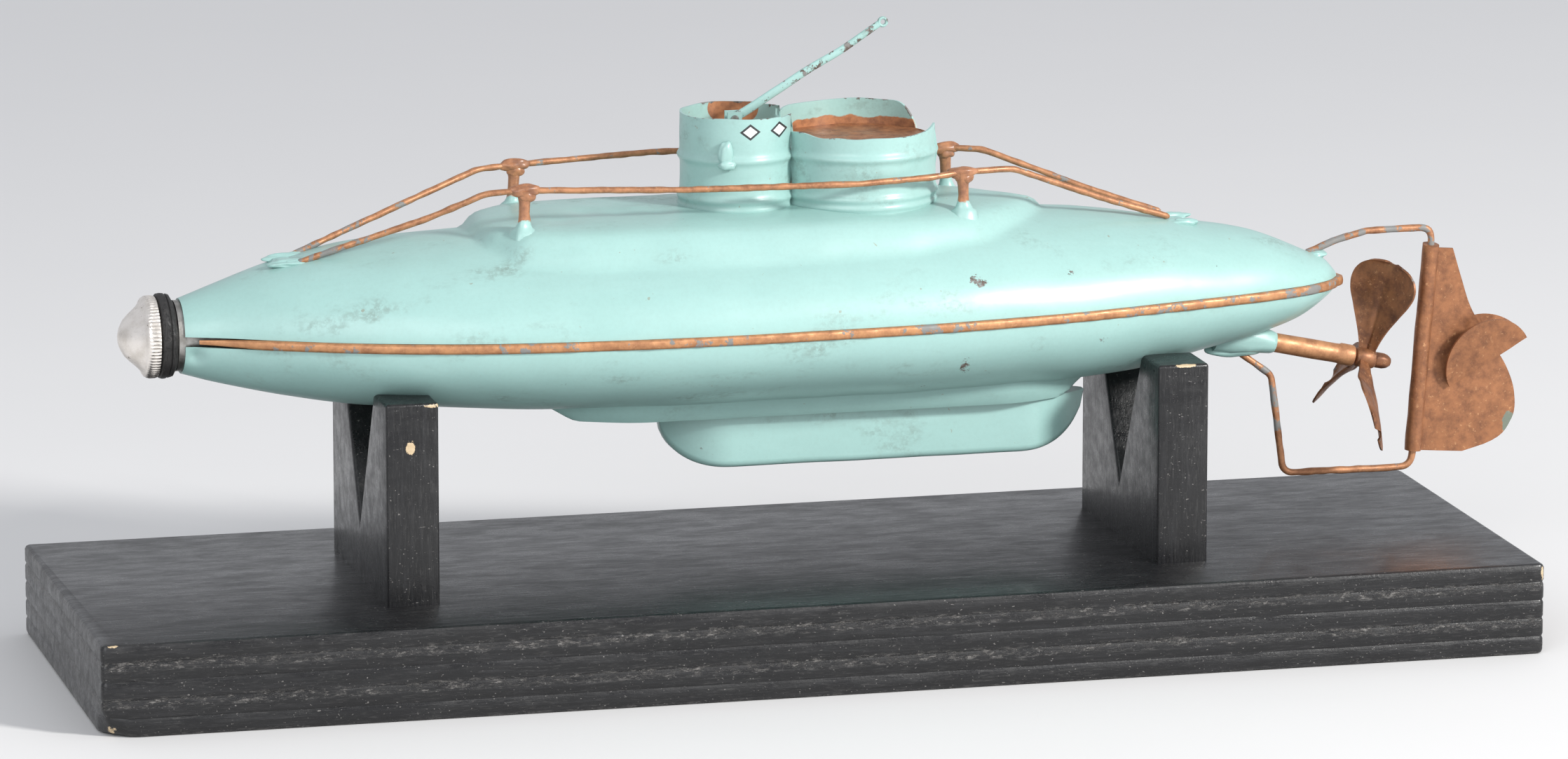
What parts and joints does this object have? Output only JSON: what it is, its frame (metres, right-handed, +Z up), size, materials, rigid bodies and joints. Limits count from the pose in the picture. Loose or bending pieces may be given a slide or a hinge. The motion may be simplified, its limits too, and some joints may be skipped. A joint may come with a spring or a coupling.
{
  "type": "toy boat",
  "caption": "Tinplate clockwork toy submarine in worn blue-green paint, resting on a black plywood cradle stand.",
  "frame": {"origin": "middle of the stand's underside, on the surface it stands on", "axes": "+X towards the submarine's stern, +Y to starboard, +Z up"},
  "size_m": [0.3113, 0.095, 0.1305],
  "materials": {
    "black_plywood": "black paint over plywood, worn and speckled",
    "steel": "plain bright steel, lightly oiled",
    "spring_steel": "hardened, blued spring steel",
    "green_enamel": "pale blue-green enamel, chipped and grimy",
    "copper_paint": "copper paint over tinned sheet, tarnished",
    "lead": "dull cast lead",
    "nickel": "nickel plate, dulled and spotted",
    "black_rubber": "perished black rubber",
    "tinned_steel": "bare tinned steel, rusty at the edges",
    "brass": "bare brass, lightly tarnished"
  },
  "bodies": {
    "stand": {"stand_base": "black_plywood", "stand_screws": "steel", "stand_upright_fore": "black_plywood", "stand_upright_aft": "black_plywood"},
    "hull": {"hull_upper_shell": "green_enamel", "hull_lower_shell": "green_enamel", "seam_band": "copper_paint", "keel_plate": "green_enamel", "keel_box": "green_enamel", "keel_ballast": "lead", "bow_collar": "tinned_steel", "tower_wall": "green_enamel", "tower_deck": "copper_paint", "tower_clip": "green_enamel", "mast_bracket": "green_enamel", "mast_pin": "green_enamel", "handrail_port": "copper_paint", "handrail_starboard": "copper_paint", "rail_post_port_fore": "copper_paint", "rail_post_port_aft": "copper_paint", "rail_post_starboard_fore": "copper_paint", "rail_post_starboard_aft": "copper_paint", "rail_solder_bow": "green_enamel", "rail_solder_stern": "green_enamel", "rudder_wire": "copper_paint", "rudder_wire_solder": "green_enamel", "stern_tube": "copper_paint", "stern_bushes": "brass", "stern_tube_fairing": "green_enamel", "motor_plate_fore": "brass", "motor_plate_middle": "brass", "motor_plate_aft": "brass", "motor_pillars": "brass", "motor_feet": "steel", "mainspring": "spring_steel", "arbor_support": "steel"},
    "gasket": {"nose_gasket": "black_rubber"},
    "cap": {"nose_cap": "nickel"},
    "winding": {"winding_arbor": "steel", "ratchet_wheel": "brass"},
    "great": {"great_wheel": "brass", "click_stud": "steel"},
    "click": {"ratchet_click": "spring_steel"},
    "second": {"second_pinion": "brass", "second_wheel": "brass"},
    "output": {"output_pinion": "brass", "output_arbor": "steel", "coupling_disc": "brass"},
    "screw": {"propeller_shaft": "steel", "coupling_fork": "brass", "propeller": "copper_paint", "propeller_nut": "copper_paint"},
    "mast": {"mast": "green_enamel"},
    "rudder": {"rudder": "copper_paint"},
    "plane_port": {"dive_plane_port": "copper_paint"},
    "plane_starboard": {"dive_plane_starboard": "copper_paint"}
  },
  "joints": [
    {"name": "boat_lift", "type": "slide", "parent": "stand", "child": "hull", "axis": [0, 0, 1], "range_m": [0, 0.06]},
    {"name": "cap_travel", "type": "slide", "parent": "hull", "child": "gasket", "axis": [-1, 0, 0], "range_m": [0, 0.005]},
    {"name": "cap_turn", "type": "hinge", "parent": "gasket", "child": "cap", "pos_m": [-0.125, 0, 0.0711], "axis": [-1, 0, 0], "range_deg": [0, 1440]},
    {"name": "winding_turn", "type": "hinge", "parent": "hull", "child": "winding", "pos_m": [-0.038, 0, 0.0711], "axis": [1, 0, 0], "range_deg": [0, 2880]},
    {"name": "propeller_turn", "type": "hinge", "parent": "hull", "child": "screw", "pos_m": [0.1233, 0, 0.0546], "axis": [0.9777, 0, -0.21], "continuous": true},
    {"name": "output_turn", "type": "hinge", "parent": "hull", "child": "output", "pos_m": [-0.038, 0, 0.0651], "axis": [1, 0, 0], "continuous": true},
    {"name": "second_turn", "type": "hinge", "parent": "hull", "child": "second", "pos_m": [-0.038, -0.0112, 0.0681], "axis": [1, 0, 0], "continuous": true},
    {"name": "great_turn", "type": "hinge", "parent": "hull", "child": "great", "pos_m": [-0.038, 0, 0.0711], "axis": [1, 0, 0], "continuous": true},
    {"name": "click_swing", "type": "hinge", "parent": "great", "child": "click", "pos_m": [-0.02445, 0.0076, 0.0711], "axis": [1, 0, 0], "range_deg": [0, 15]},
    {"name": "mast_swing", "type": "hinge", "parent": "hull", "child": "mast", "pos_m": [-0.01, 0, 0.1107], "axis": [0, -1, 0], "range_deg": [-25, 57]},
    {"name": "rudder_swing", "type": "hinge", "parent": "hull", "child": "rudder", "pos_m": [0.1367, 0, 0.0338], "axis": [0.0767, 0, 0.9971], "range_deg": [-35, 35]},
    {"name": "plane_port_bend", "type": "hinge", "parent": "rudder", "child": "plane_port", "pos_m": [0.1528, -0.0007, 0.05196], "axis": [0.866, 0, 0.5], "range_deg": [-8, 65]},
    {"name": "plane_starboard_bend", "type": "hinge", "parent": "rudder", "child": "plane_starboard", "pos_m": [0.1528, 0.0007, 0.05196], "axis": [-0.866, 0, -0.5], "range_deg": [-8, 65]}
  ],
  "couplings": [
    {"joint": "cap_travel", "follows": "cap_turn", "m_per_rad": 0.00019894},
    {"joint": "output_turn", "follows": "propeller_turn", "ratio": 1},
    {"joint": "second_turn", "follows": "propeller_turn", "ratio": -0.26087},
    {"joint": "great_turn", "follows": "propeller_turn", "ratio": 0.054348}
  ]
}
